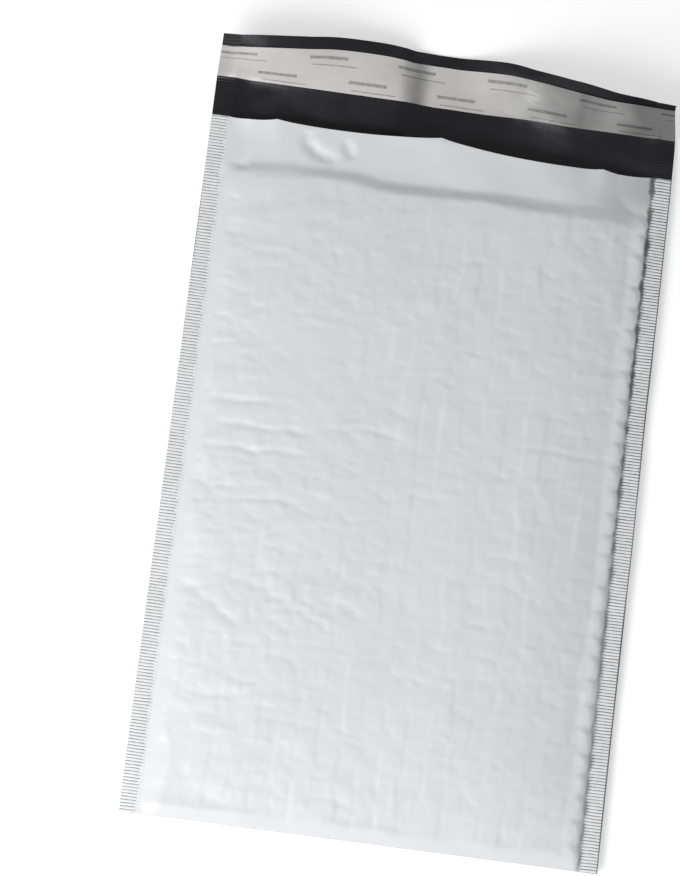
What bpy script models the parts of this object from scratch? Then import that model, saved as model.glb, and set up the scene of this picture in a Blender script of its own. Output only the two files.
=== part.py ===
"""Padded envelope: an open film mailer with a bubble lining, lying on its back.

The outer film is one sheet, white outside and black inside. It is folded at the bottom, welded
down both sides and runs on past the mouth as the flap. A folded bubble sheet lines the pocket,
and the flap carries an adhesive strip under a peel-off release liner.

Lengths are in metres. While the meshes are made, x runs across the envelope from its middle,
y runs from the bottom fold towards the flap, and z is the height above the floor.
"""

import math

import bmesh
import bpy

# Outline
WIDTH = 0.241
BODY_LENGTH = 0.362
FLAP_LENGTH = 0.050

# Film, side welds and their crimped ribs
FILM = 0.0002
SEAL_WIDTH = 0.0095
CRIMP_MARGIN = 0.0008
CRIMP_PITCH = 0.0016
CRIMP_DEPTH = 0.00022

# Bubble lining
LINING = 0.0035
LINING_SETBACK = 0.026
BUBBLE_PITCH = 0.0122
BUBBLE_RELIEF = 0.0007

# Clearance between pieces, and the slack that the empty pocket keeps. It falls away towards the
# welds and the fold as a power of the distance: a high power keeps its top flat.
CLEARANCE = 0.0003
CLOSED_GAP = 0.0005
POCKET_HEIGHT = 0.0058
POCKET_RUN = 0.080
POCKET_FLATNESS = 4

# How far the padding takes to reach its full thickness from a weld and from the bottom fold
SIDE_RUN = 0.009
FOLD_RUN = 0.012
RUN_STEPS = 3

# The mouth's loose edge: its height, and the pinched ridges at shares of the half width
MOUTH_HEIGHT = 0.0064
MOUTH_RIDGES = ((-0.77, 0.0082), (0.0, 0.0120), (0.76, 0.0082))
RIDGE_REACH = 0.018
MOUTH_STEPS = 4

# Flap: the degrees it stands above the floor at places across it, given as shares of the half
# width: on its bare band by the mouth, along the release liner, and at its free edge.
# It bends within a short way of the liner's two edges.
FLAP_ANGLES = (
    (-0.95, 0, 63, 35),
    (-0.80, 13, 56, 25),
    (-0.62, 17, 43, 23),
    (-0.48, 17, 26, 17),
    (-0.30, 17, 12, 18),
    (-0.22, 18, 2, 19),
    (-0.16, 10, -5, 18),
    (-0.10, 2, -1, 6),
    (-0.04, 0, 0, 2),
    (0.06, 0, 1, 9),
    (0.20, 1, 16, 22),
    (0.36, 13, 37, 56),
    (0.54, 25, 52, 54),
    (0.72, 18, 60, 71),
    (0.95, 0, 59, 92),
)
FLAP_BEND = 0.006
ARC_STEPS = 12

# How far the free edge is drawn in at its right end, and the share of the half width it starts at
DRAWN_IN = 0.005
DRAWN_IN_FROM = 0.60

# Strips on the flap
RELEASE_WIDTH = 0.022
RELEASE_FROM_EDGE = 0.0064
RELEASE_THICKNESS = 0.00015
ADHESIVE_WIDTH = 0.015
ADHESIVE_THICKNESS = 0.0002
ADHESIVE_FROM_SIDE = 0.004

# Spacing of the plain faces' mesh
COARSE_STEP = 0.021
MOUTH_STEP = 0.0055
PLAIN_ROW_STEP = 0.045
FLAP_STEP = 0.0068
FLAP_ROW_STEP = 0.0055
SHARP_ANGLE = math.radians(40)

# Lengths closer than this count as equal, and points that agree to this many decimals as one
TOLERANCE = 1e-9
POINT_DECIMALS = 7

# Places that follow from the sizes above
HALF_WIDTH = WIDTH / 2
WELD_X = HALF_WIDTH - SEAL_WIDTH
PAD_X = WELD_X - SIDE_RUN
LINING_END = BODY_LENGTH - LINING_SETBACK
PAD_EDGE_HEIGHT = 2 * (FILM + CLEARANCE + LINING) + CLOSED_GAP
WELD_Z = PAD_EDGE_HEIGHT / 2
RELEASE_TOP = FLAP_LENGTH - RELEASE_FROM_EDGE
RELEASE_FOOT = RELEASE_TOP - RELEASE_WIDTH
ADHESIVE_FOOT = (RELEASE_FOOT + RELEASE_TOP - ADHESIVE_WIDTH) / 2
ADHESIVE_TOP = ADHESIVE_FOOT + ADHESIVE_WIDTH
ADHESIVE_LIFT = FILM + CLEARANCE
RELEASE_LIFT = ADHESIVE_LIFT + ADHESIVE_THICKNESS + CLEARANCE

WHITE_FILM = ("white_film", (0.86, 0.86, 0.87, 1.0), 0.38)
BLACK_FILM = ("black_film", (0.030, 0.028, 0.030, 1.0), 0.30)
BUBBLE_SHEET = ("bubble_sheet", (0.78, 0.80, 0.82, 1.0), 0.25)
HOT_MELT = ("hot_melt_adhesive", (0.80, 0.74, 0.52, 1.0), 0.30)
RELEASE_FILM = ("release_film", (0.66, 0.65, 0.64, 1.0), 0.35)


def rise(distance, run):
    """0 at an edge, 1 from one run inward, on a quarter of a sine."""
    return math.sin(math.pi / 2 * min(max(distance / run, 0.0), 1.0))


def side_rise(x):
    return rise(WELD_X - abs(x), SIDE_RUN)


def pocket_crown(x, y):
    """Share of the pocket's full height at this place, flat-topped across and along."""
    across = 1 - min(abs(x) / PAD_X, 1.0) ** POCKET_FLATNESS
    along = 1 - (1 - min(max((y - FOLD_RUN) / POCKET_RUN, 0.0), 1.0)) ** POCKET_FLATNESS
    return across * along


def mouth_height(x):
    """Height of the front film's inner face along the mouth, raised at the pinched ridges."""
    height = MOUTH_HEIGHT
    for share, peak in MOUTH_RIDGES:
        distance = abs(x - share * WELD_X)
        height += (peak - MOUTH_HEIGHT) * math.exp(-distance / RIDGE_REACH)
    return height


def front_inner(x, y):
    """Height of the front film's inner face, over the lining and on to the mouth."""
    full = PAD_EDGE_HEIGHT - FILM + POCKET_HEIGHT * pocket_crown(x, y)
    if y > LINING_END:
        share = (1 - math.cos(math.pi * (y - LINING_END) / LINING_SETBACK)) / 2
        full += (mouth_height(x) - full) * share
    return WELD_Z + (full - WELD_Z) * side_rise(x) * rise(y, FOLD_RUN)


def front_outer(x, y):
    return front_inner(x, y) + FILM


def back_outer(x, y):
    """Height of the back film's outer face: on the floor, and up to the welds at its edges."""
    return (WELD_Z - FILM) * (1 - side_rise(x) * rise(y, FOLD_RUN))


def back_inner(x, y):
    return back_outer(x, y) + FILM


def lining_thickness(x, y):
    """Thickness of one wall of the lining, crushed where the films close on it."""
    room = front_inner(x, y) - back_inner(x, y) - 2 * CLEARANCE
    return min(LINING, (room - CLOSED_GAP) / 2)


def smooth_share(value, low, high):
    """0 up to the low value and 1 from the high one, turning gently at both."""
    share = min(max((value - low) / (high - low), 0.0), 1.0)
    return share * share * (3 - 2 * share)


def flap_angle(x, length):
    """The angle between the flap and the floor, `length` up from the mouth."""
    share = min(max(x / HALF_WIDTH, FLAP_ANGLES[0][0]), FLAP_ANGLES[-1][0])
    for low, high in zip(FLAP_ANGLES, FLAP_ANGLES[1:]):
        if share <= high[0]:
            break
    mix = (share - low[0]) / (high[0] - low[0])
    band, liner, edge = (a + (b - a) * mix for a, b in zip(low[1:], high[1:]))
    onto_liner = smooth_share(length, RELEASE_FOOT - FLAP_BEND, RELEASE_FOOT + FLAP_BEND)
    off_liner = smooth_share(length, RELEASE_TOP - FLAP_BEND, RELEASE_TOP + FLAP_BEND)
    angle = math.radians(band + (liner - band) * onto_liner + (edge - liner) * off_liner)
    return angle * smooth_share(length, 0.0, FLAP_BEND)


def flap_point(x, length, lift):
    """A point on the flap, `length` up from the mouth along the bent film."""
    y = BODY_LENGTH
    z = back_outer(x, BODY_LENGTH) * (1 - length / FLAP_LENGTH)
    for i in range(ARC_STEPS):
        angle = flap_angle(x, length * (i + 0.5) / ARC_STEPS)
        y += length / ARC_STEPS * math.cos(angle)
        z += length / ARC_STEPS * math.sin(angle)
    angle = flap_angle(x, length)
    to_end = smooth_share(x / HALF_WIDTH, DRAWN_IN_FROM, 1.0)
    to_edge = smooth_share(length, RELEASE_FOOT - FLAP_BEND, FLAP_LENGTH)
    return x - DRAWN_IN * to_end * to_edge, y - lift * math.sin(angle), z + lift * math.cos(angle)


def even_stations(start, end, step):
    """Evenly spaced values from start to end, at most one step apart."""
    count = max(1, math.ceil((end - start) / step - TOLERANCE))
    return [start + (end - start) * i / count for i in range(count + 1)]


def across_stations(step):
    """Stations from weld to weld: the side slopes, and the pad at the given step."""
    slope = [WELD_X - SIDE_RUN * i / RUN_STEPS for i in range(RUN_STEPS)]
    pad = even_stations(-PAD_X, PAD_X, step)
    return [-x for x in slope] + pad + slope[::-1]


def lengthwise_stations():
    """Rows of the plain faces from the first one above the fold up to the mouth."""
    fold = [FOLD_RUN * i / RUN_STEPS for i in range(1, RUN_STEPS)]
    crown = even_stations(FOLD_RUN, FOLD_RUN + POCKET_RUN, POCKET_RUN / RUN_STEPS)
    pad = even_stations(FOLD_RUN + POCKET_RUN, LINING_END, PLAIN_ROW_STEP)
    return fold + crown + pad[1:] + mouth_rows()[1:]


def mouth_rows():
    return even_stations(LINING_END, BODY_LENGTH, LINING_SETBACK / MOUTH_STEPS)


def flap_rows():
    """Distances up the flap, with a row on each edge of the strips it carries."""
    edges = [0.0, RELEASE_FOOT, ADHESIVE_FOOT, ADHESIVE_TOP, RELEASE_TOP, FLAP_LENGTH]
    rows = [0.0]
    for start, end in zip(edges, edges[1:]):
        rows += even_stations(start, end, FLAP_ROW_STEP)[1:]
    return rows


class Skin:
    """A closed surface, made by joining rows of points. Points at one place are shared."""

    def __init__(self):
        self.mesh = bmesh.new()
        self.points = {}

    def point(self, x, y, z):
        key = tuple(round(value, POINT_DECIMALS) for value in (x, y, z))
        if key not in self.points:
            self.points[key] = self.mesh.verts.new((x, y, z))
        return self.points[key]

    def row(self, places):
        return [self.point(*place) for place in places]

    def join(self, first, second, along=0, material=0):
        """Fills between two rows, stepping to whichever next point comes first along an axis.

        With no axis given, the rows take turns.
        """
        i = j = 0
        while i < len(first) - 1 or j < len(second) - 1:
            if j == len(second) - 1:
                step_first = True
            elif i == len(first) - 1:
                step_first = False
            elif along is None:
                step_first = i <= j
            else:
                step_first = first[i + 1].co[along] <= second[j + 1].co[along] + TOLERANCE
            if step_first:
                corners = (first[i], first[i + 1], second[j])
                i += 1
            else:
                corners = (first[i], second[j + 1], second[j])
                j += 1
            if len(set(corners)) == 3:
                self.mesh.faces.new(corners).material_index = material

    def join_all(self, rows, along=0, material=0):
        for first, second in zip(rows, rows[1:]):
            self.join(first, second, along, material)

    def to_object(self, name, finishes, parent):
        bmesh.ops.recalc_face_normals(self.mesh, faces=self.mesh.faces)
        mesh = bpy.data.meshes.new(name)
        self.mesh.to_mesh(mesh)
        self.mesh.free()
        mesh.shade_smooth()
        mesh.set_sharp_from_angle(angle=SHARP_ANGLE)
        for finish in finishes:
            mesh.materials.append(material_of(*finish))
        made = bpy.data.objects.new(name, mesh)
        made.parent = parent
        bpy.context.scene.collection.objects.link(made)
        return made


def material_of(name, colour, roughness):
    """A plain finish, made once and shared by the pieces that have it."""
    material = bpy.data.materials.get(name) or bpy.data.materials.new(name)
    material.use_nodes = True
    shader = material.node_tree.nodes["Principled BSDF"]
    shader.inputs["Base Color"].default_value = colour
    shader.inputs["Roughness"].default_value = roughness
    shader.inputs["Metallic"].default_value = 0.0
    return material


def bubble_rows():
    """Rows of (x, y, relief) over the pad: bubble tops, and the low points between them.

    The bubbles stand in columns along the envelope, each column half a pitch off the next.
    """
    columns = max(1, round(2 * PAD_X / (BUBBLE_PITCH * math.sqrt(3) / 2)))
    column_step = 2 * PAD_X / columns
    count = max(1, round((LINING_END - FOLD_RUN) / (BUBBLE_PITCH / 2)))
    row_step = (LINING_END - FOLD_RUN) / count
    rows = []
    for k in range(count):
        y = FOLD_RUN + (k + 0.5) * row_step
        row = []
        for i in range(columns):
            middle = -PAD_X + (i + 0.5) * column_step
            if (i + k) % 2 == 0:
                row.append((middle, y, BUBBLE_RELIEF))
            else:
                row.append((middle - column_step / 3, y, 0.0))
                row.append((middle + column_step / 3, y, 0.0))
        rows.append(row)
    return rows


def front_face_rows(skin):
    """Rows of the front film's outer face from weld to weld, from the fold to the mouth."""
    coarse = across_stations(COARSE_STEP)
    slope = [x for x in coarse if abs(x) > PAD_X - TOLERANCE]
    rows = []
    for i in range(RUN_STEPS + 1):
        y = FOLD_RUN * i / RUN_STEPS
        rows.append(skin.row((x, y, front_outer(x, y)) for x in coarse))
    for bubbles in bubble_rows():
        y = bubbles[0][1]
        edge = [(x, y, 0.0) for x in slope]
        places = sorted(edge + bubbles)
        rows.append(skin.row((x, y, front_outer(x, y) + relief) for x, y, relief in places))
    for y in mouth_rows():
        rows.append(skin.row((x, y, front_outer(x, y)) for x in across_stations(MOUTH_STEP)))
    return rows


def crimp_column(skin, x):
    """One edge of the crimped ribs, as points along y whose heights go up and down."""
    count = max(1, round(BODY_LENGTH / CRIMP_PITCH))
    top = WELD_Z + FILM
    places = []
    for i in range(2 * count + 1):
        places.append((x, BODY_LENGTH * i / (2 * count), top + CRIMP_DEPTH * (i % 2)))
    return skin.row(places)


def outer_film(parent):
    """The bag: one film folded at the bottom, welded down both sides and open at the mouth."""
    skin = Skin()
    coarse = across_stations(COARSE_STEP)
    band = [-HALF_WIDTH] + coarse + [HALF_WIDTH]
    rows_y = lengthwise_stations()
    fold_line = skin.row((x, 2 * FILM, WELD_Z) for x in coarse[1:-1])

    front = front_face_rows(skin)
    skin.join_all(front)

    front_inside = [fold_line]
    for y in rows_y:
        stations = coarse if y < LINING_END - TOLERANCE else across_stations(MOUTH_STEP)
        front_inside.append(skin.row((x, y, front_inner(x, y)) for x in stations))
    skin.join_all(front_inside, material=1)

    flap_band = [-HALF_WIDTH] + across_stations(FLAP_STEP) + [HALF_WIDTH]
    flap_inside = [skin.row(flap_point(x, s, FILM) for x in flap_band) for s in flap_rows()]
    skin.join_all(flap_inside, material=1)

    back_inside = [fold_line]
    for y in rows_y[:-1]:
        back_inside.append(skin.row((x, y, back_inner(x, y)) for x in coarse))
    skin.join_all(back_inside + [flap_inside[0][1:-1]], material=1)

    flap_outside = [skin.row(flap_point(x, s, 0.0) for x in flap_band) for s in flap_rows()]
    back = [skin.row((x, y, back_outer(x, y)) for x in band) for y in [0.0] + rows_y[:-1]]
    back.append(flap_outside[0])
    skin.join_all(back + flap_outside[1:])

    skin.join(front[-1], front_inside[-1])
    skin.join(flap_inside[-1], flap_outside[-1])
    fold_edge = [front[0]]
    for side in (-1, 1):
        rib_edge = crimp_column(skin, side * (WELD_X + CRIMP_MARGIN))
        outer_edge = crimp_column(skin, side * HALF_WIDTH)
        end = 0 if side < 0 else -1
        skin.join([row[end] for row in front], rib_edge, along=1)
        skin.join(rib_edge, outer_edge, along=1)
        mouth_corner = flap_inside[0][end]
        skin.join(outer_edge + [mouth_corner], [row[end] for row in back], along=1)
        flap_edge = [row[end] for row in flap_inside]
        skin.join(flap_edge, [row[end] for row in flap_outside], along=None)
        step = sorted((front[-1][end], rib_edge[-1], outer_edge[-1]), key=lambda v: v.co.x)
        weld_corner = flap_inside[0][1 if side < 0 else -2]
        skin.join(step, sorted((mouth_corner, weld_corner), key=lambda v: v.co.x))
        fold_edge.append([rib_edge[0], outer_edge[0]])
    bottom = fold_edge[1][::-1] + fold_edge[0] + fold_edge[2]
    skin.join(bottom, back[0])
    return skin.to_object("outer_film", (WHITE_FILM, BLACK_FILM), parent)


def bubble_lining(parent):
    """The bubble sheet: one sheet folded at the bottom, its bubbles facing the film."""
    skin = Skin()
    stations = across_stations(COARSE_STEP)[1:-1]
    rows_y = [y for y in lengthwise_stations() if y < LINING_END + TOLERANCE]
    fold_y = rows_y[0] + 2 * CLEARANCE
    crease = skin.row((x, fold_y, WELD_Z) for x in stations)

    def wall(height):
        return [skin.row((x, y, height(x, y)) for x in stations) for y in rows_y]

    front = wall(lambda x, y: front_inner(x, y) - CLEARANCE)
    front_inside = wall(lambda x, y: front_inner(x, y) - CLEARANCE - lining_thickness(x, y))
    back_inside = wall(lambda x, y: back_inner(x, y) + CLEARANCE + lining_thickness(x, y))
    back = wall(lambda x, y: back_inner(x, y) + CLEARANCE)

    skin.join_all(front)
    skin.join_all(back)
    skin.join_all([crease] + front_inside[1:])
    skin.join_all([crease] + back_inside[1:])
    skin.join(front[0], back[0])
    skin.join(front[-1], front_inside[-1])
    skin.join(back[-1], back_inside[-1])
    for end in (0, -1):
        for outside, inside in ((front, front_inside), (back, back_inside)):
            inner = [crease[end]] + [row[end] for row in inside[1:]]
            skin.join([row[end] for row in outside], inner, along=1)
        skin.join([front[0][end], back[0][end]], [crease[end]], along=2)
    return skin.to_object("bubble_lining", (BUBBLE_SHEET,), parent)


def strip(name, finish, parent, foot, top, lift, thickness, half_width):
    """A flat strip across the flap that follows its curl at a given lift."""
    skin = Skin()
    stations = [x for x in across_stations(FLAP_STEP) if abs(x) < half_width - TOLERANCE]
    stations = [-half_width] + stations + [half_width]
    rows = [s for s in flap_rows() if foot - TOLERANCE <= s <= top + TOLERANCE]
    lower = [skin.row(flap_point(x, s, lift) for x in stations) for s in rows]
    upper = [skin.row(flap_point(x, s, lift + thickness) for x in stations) for s in rows]
    skin.join_all(lower)
    skin.join_all(upper)
    for end in (0, -1):
        skin.join(lower[end], upper[end])
        skin.join([row[end] for row in lower], [row[end] for row in upper], along=None)
    return skin.to_object(name, (finish,), parent)


def centre_over_origin(assembly, pieces):
    """Puts the middle of the footprint over the origin, with the back on the floor."""
    corners = [vertex.co for piece in pieces for vertex in piece.data.vertices]
    for axis in (0, 1):
        values = [corner[axis] for corner in corners]
        assembly.location[axis] = -(min(values) + max(values)) / 2
    assembly.location[2] = -min(corner[2] for corner in corners)


def padded_envelope():
    assembly = bpy.data.objects.new("padded_envelope", None)
    bpy.context.scene.collection.objects.link(assembly)
    pieces = [
        outer_film(assembly),
        bubble_lining(assembly),
        strip("adhesive_strip", HOT_MELT, assembly, ADHESIVE_FOOT, ADHESIVE_TOP,
              ADHESIVE_LIFT, ADHESIVE_THICKNESS, HALF_WIDTH - ADHESIVE_FROM_SIDE),
        strip("release_liner", RELEASE_FILM, assembly, RELEASE_FOOT, RELEASE_TOP,
              RELEASE_LIFT, RELEASE_THICKNESS, HALF_WIDTH),
    ]
    centre_over_origin(assembly, pieces)


for leftover in list(bpy.data.objects):
    bpy.data.objects.remove(leftover)
padded_envelope()
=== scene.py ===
"""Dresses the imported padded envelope: its film, bubble lining, glue and release liner, on a pale stage.

Lengths are in metres. On the flat film, x runs across from the middle and y up from the bottom
fold, over the mouth and on along the flap. z is the height above the floor.
"""

import math

import bmesh
import bpy
import numpy as np
from bpy.props import FloatProperty, FloatVectorProperty, PointerProperty
from mathutils import Matrix, Vector


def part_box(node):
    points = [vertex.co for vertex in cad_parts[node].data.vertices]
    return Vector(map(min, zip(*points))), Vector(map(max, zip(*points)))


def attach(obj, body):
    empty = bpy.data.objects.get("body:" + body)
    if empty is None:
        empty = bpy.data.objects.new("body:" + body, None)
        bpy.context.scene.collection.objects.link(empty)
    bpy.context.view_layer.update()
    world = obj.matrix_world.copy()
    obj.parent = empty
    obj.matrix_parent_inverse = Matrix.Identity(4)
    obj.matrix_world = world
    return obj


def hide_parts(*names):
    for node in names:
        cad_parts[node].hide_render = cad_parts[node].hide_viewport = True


bl_info = {
    "name": "Padded Envelope",
    "version": (1, 0, 0),
    "blender": (4, 5, 0),
    "location": "View3D > Sidebar > Envelope",
    "description": "Makes the film, lining, glue and release liner of an open padded envelope",
    "category": "Add Mesh",
}

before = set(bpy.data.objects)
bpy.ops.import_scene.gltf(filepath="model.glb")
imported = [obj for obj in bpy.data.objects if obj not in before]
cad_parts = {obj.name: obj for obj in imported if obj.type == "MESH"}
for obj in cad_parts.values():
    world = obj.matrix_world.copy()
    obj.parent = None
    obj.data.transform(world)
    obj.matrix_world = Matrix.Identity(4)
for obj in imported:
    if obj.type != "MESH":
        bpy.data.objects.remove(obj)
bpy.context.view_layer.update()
FILM_LOW, FILM_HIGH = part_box("outer_film")
LINING_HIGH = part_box("bubble_lining")[1]

# Where the film's flat coordinates are kept on each mesh
FLAT_MAP = "flat_film"
SHARP_ANGLE = math.radians(55)

# Mesh steps. In a zone beside each weld the front film's columns stand half a step apart.
FRONT_STEP = 0.0012
EDGE_ZONE = 0.0045
INSIDE_STEP = 0.0042
BACK_STEP = 0.0032
FLAP_STEP = 0.0016
LINING_STEP = 0.0019
GLUE_STEP = 0.0015
LINER_STEP = 0.0012

# Rows of faces to one rib of a weld. Across it the ribs set in from the pad's side, and near the
# outer edge they fade to a share of their depth.
RIB_ROWS = 4
RIB_MARGIN = 0.0003
RIB_SET_IN = 0.0005
RIB_FADE = 0.0006
RIB_EDGE_SHARE = 0.7

# The film climbs from a weld to the pad over this distance. On the left it is pulled straight. On
# the right it first climbs steeply for part of the height, and each bubble pushes that wall closer
# to the weld.
LEFT_RUN = 0.0090
RIGHT_RUN = 0.0105
WALL_SHARE = 0.45
WALL_RUNS = (0.0010, 0.0040)
SCALLOP_POWER = 0.6
SCALLOP_SHARE = 0.60

# The same for the plain back film, and for the arch of the pocket between the welds
BACK_RUN = 0.009
ARCH_INSET = 0.009

# Small tucks in the film between two bubbles: where they start from the weld, how long they are at
# most, how far they turn down, how deep they are at most, and their half width
TUCK_START = 0.0030
TUCK_LENGTH = 0.0140
TUCK_SLANT = 0.14
TUCK_DEPTH = 0.00060
TUCK_WIDTH = 0.0013

# How far the lining stays from the welds, from the fold and from the front film's outer face, and
# the room that is left between it and the back film and between its two walls
LINING_FROM_WELD = 0.0035
LINING_FROM_FOLD = 0.006
LINING_BELOW_FILM = 0.0030
LINING_ROOM = 0.0002

# The lining's cut edge: the last bubbles are flat, and the front film sinks there in a step that
# wanders up and down
EDGE_FLANGE = 0.0045
STEP_BELOW_MOUTH = 0.0262
STEP_WANDER = 0.0022
STEP_DEPTH = 0.0042
STEP_RUN = 0.0095

# The front film's cut edge: small tips, and how far it droops between them. The rows of the film's
# mesh turn to follow it over the last stretch.
MOUTH_TIPS_X = (-0.111, -0.087, -0.002, 0.084, 0.111)
MOUTH_TIPS_Y = (0.0, 0.0003, 0.0022, -0.0004, 0.0)
MOUTH_DROOPS = (0.0010, 0.0022, 0.0030, 0.0012)
DROOP_POWER = 0.8
MOUTH_FROM_EDGE = 0.030

# Height of the front film's cut edge at places across it
RIM_X = (-0.111, -0.095, -0.087, -0.079, -0.045, -0.014, -0.002, 0.010, 0.045, 0.076, 0.084,
         0.092, 0.111)
RIM_Z = (0.0060, 0.0088, 0.0110, 0.0106, 0.0118, 0.0128, 0.0140, 0.0130, 0.0112, 0.0080, 0.0084,
         0.0058, 0.0050)

# How far the lip sinks towards its right end
LIP_DROOP = 0.0034

# Long creases of the front film, as points (x, y), their depth and their half width
CREASES = (
    (((-0.1035, 0.2140), (-0.0875, 0.2126), (-0.0700, 0.2143)), 0.00058, 0.0015),
    (((-0.0990, 0.2010), (-0.0750, 0.2004), (-0.0490, 0.2009)), 0.00058, 0.0016),
    (((-0.1040, 0.1895), (-0.0845, 0.1890), (-0.0710, 0.1899), (-0.0490, 0.1895)), 0.00048, 0.0014),
    (((-0.1020, 0.1690), (-0.0830, 0.1687)), 0.00048, 0.0014),
    (((-0.0900, 0.1615), (-0.0660, 0.1648), (-0.0480, 0.1642)), 0.00044, 0.0014),
    (((-0.0410, 0.2050), (-0.0150, 0.2067), (-0.0050, 0.2060)), 0.00034, 0.0013),
    (((-0.1075, 0.1200), (-0.1040, 0.1168), (-0.0990, 0.1162), (-0.0955, 0.1128), (-0.0925, 0.1092),
      (-0.0880, 0.1086), (-0.0845, 0.1050), (-0.0800, 0.1030), (-0.0755, 0.1026)), 0.00052, 0.0021),
    (((-0.0720, 0.1226), (-0.0680, 0.1200), (-0.0630, 0.1192), (-0.0590, 0.1156), (-0.0540, 0.1146),
      (-0.0500, 0.1112), (-0.0445, 0.1100), (-0.0405, 0.1068), (-0.0345, 0.1058),
      (-0.0300, 0.1022), (-0.0250, 0.1012)), 0.00052, 0.0021),
    (((-0.0640, 0.1080), (-0.0600, 0.1046), (-0.0555, 0.1036), (-0.0520, 0.1002), (-0.0460, 0.0996)),
     0.00036, 0.0018),
    (((-0.0930, 0.0980), (-0.0890, 0.0950), (-0.0830, 0.0944), (-0.0790, 0.0912)), 0.00034, 0.0018),
    (((-0.0250, 0.1180), (-0.0215, 0.1140), (-0.0170, 0.1130), (-0.0140, 0.1086)), 0.00034, 0.0018),
    (((-0.0960, 0.0633), (-0.0835, 0.0625), (-0.0680, 0.0620)), 0.00034, 0.0014),
    (((0.0515, 0.2083), (0.0770, 0.2088), (0.1070, 0.2090)), 0.00041, 0.0014),
)

# Grooves and dents near the mouth and one small dent on the pad, written the same way
DENTS = (
    (((-0.0705, 0.3585), (-0.0700, 0.3526), (-0.0640, 0.3478), (-0.0533, 0.3450)), 0.0017, 0.0032),
    (((-0.0514, 0.3565), (-0.0483, 0.3516), (-0.0458, 0.3470)), 0.0013, 0.0028),
    (((0.1085, 0.3590), (0.1080, 0.3530), (0.1090, 0.3440)), 0.0012, 0.0020),
    (((-0.1100, 0.3375), (-0.0980, 0.3368)), 0.0010, 0.0022),
    (((-0.0034, 0.1387), (-0.0014, 0.1387)), 0.0004, 0.0025),
)

# How far whole columns of bubbles stand up or down, in shares of the imprint
COLUMN_SHIFT = 0.8

# Patches of slack film: width, height, depth and seed of each layer
SLACK_PATCHES = ((0.0135, 0.0090, 0.00030, 81), (0.0070, 0.0056, 0.00022, 91))

# Short chance creases, which lie nearly straight across. On the left they are closer together
# around one height.
SHORT_CREASES = 190
SHORT_REACH = 0.105
SHORT_FROM_FOLD = 0.015
SHORT_FROM_EDGE = 0.008
SHORT_DENSITY = 0.30
LEFT_DENSITY = 0.55
LEFT_DENSE_AT = 0.165
LEFT_DENSE_RUN = 0.085
SHORT_LENGTH = (0.006, 0.024)
SHORT_DEPTH = (0.00010, 0.00030)
SHORT_WIDTH = (0.0010, 0.0014)
SHORT_SLOPE = 0.12
SHORT_STEP = 0.0026
SHORT_STEP_RUN = 0.0012
SHORT_SEED = 11

# The front film stays at least this high above the welds
LEAST_RISE = 0.0006

# The film's coarser inner face keeps this much further down, so that no dent shows through it
INSIDE_SLACK = 0.0012

# The flap at stations across it, as shares of its half width: its angle above the floor on the
# bare band, along the release liner and at the free edge
FLAP_STATIONS = (
    (-0.95, 0, 63, 35),
    (-0.80, 13, 56, 25),
    (-0.62, 17, 43, 23),
    (-0.48, 17, 26, 17),
    (-0.30, 17, 12, 18),
    (-0.22, 18, 2, 19),
    (-0.16, 10, -5, 18),
    (-0.10, 2, -1, 6),
    (-0.04, 0, 0, 2),
    (0.06, 0, 1, 9),
    (0.20, 1, 16, 22),
    (0.36, 13, 37, 56),
    (0.54, 25, 52, 54),
    (0.72, 18, 60, 71),
    (0.95, 0, 59, 92),
)

# The flap turns from one angle to the next over this distance to either side of the liner's edges
FLAP_BEND = 0.006

# The flap's right end is drawn in sideways, from a share of the half width on
DRAWN_IN = 0.005
DRAWN_IN_FROM = 0.60
FLAP_RIPPLE = 0.00022

# Straight steps that add up to the flap's bent line
ARC_STEPS = 24

# Noise is laid out this far from the flat film's origin, to all sides
NOISE_REACH = 0.6

# Turns by a pattern's column and row that give its cells their chance shares, for each kind
CHANCE_TURNS = ((12.9898, 78.233), (39.346, 11.135), (73.156, 52.235), (27.17, 61.7))
CHANCE_SPREAD = 4375.85


def rise(distance, run):
    """0 at an edge, 1 from one run inward, on a quarter of a sine."""
    return np.sin(np.pi / 2 * np.clip(distance / run, 0.0, 1.0))


def ramp(distance, run):
    """A straight climb from 0 to 1, rounded off at its top."""
    share = np.clip(distance / run, 0.0, 1.2)
    return share - np.maximum(share - 0.8, 0.0) ** 2 / 0.8


def smooth_step(value, low, high):
    share = np.clip((value - low) / (high - low), 0.0, 1.0)
    return share * share * (3 - 2 * share)


def soft_noise(x, y, cell_x, cell_y, seed):
    """Smooth seeded noise from -1 to 1 whose cells have the given size."""
    counts = [math.ceil(2 * NOISE_REACH / cell) + 2 for cell in (cell_x, cell_y)]
    values = np.random.default_rng(seed).uniform(-1, 1, counts)
    u, v = (x + NOISE_REACH) / cell_x, (y + NOISE_REACH) / cell_y
    i, j = np.floor(u).astype(int), np.floor(v).astype(int)
    u, v = u - i, v - j
    u, v = (w * w * w * (w * (6 * w - 15) + 10) for w in (u, v))
    low = values[i, j] * (1 - u) + values[i + 1, j] * u
    high = values[i, j + 1] * (1 - u) + values[i + 1, j + 1] * u
    return low * (1 - v) + high * v


def chance(column, row, kind):
    """A fixed chance share from 0 to 1 for a cell of a pattern."""
    across, up = CHANCE_TURNS[kind]
    return np.modf(np.abs(np.sin(column * across + row * up)) * CHANCE_SPREAD)[0]


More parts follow.
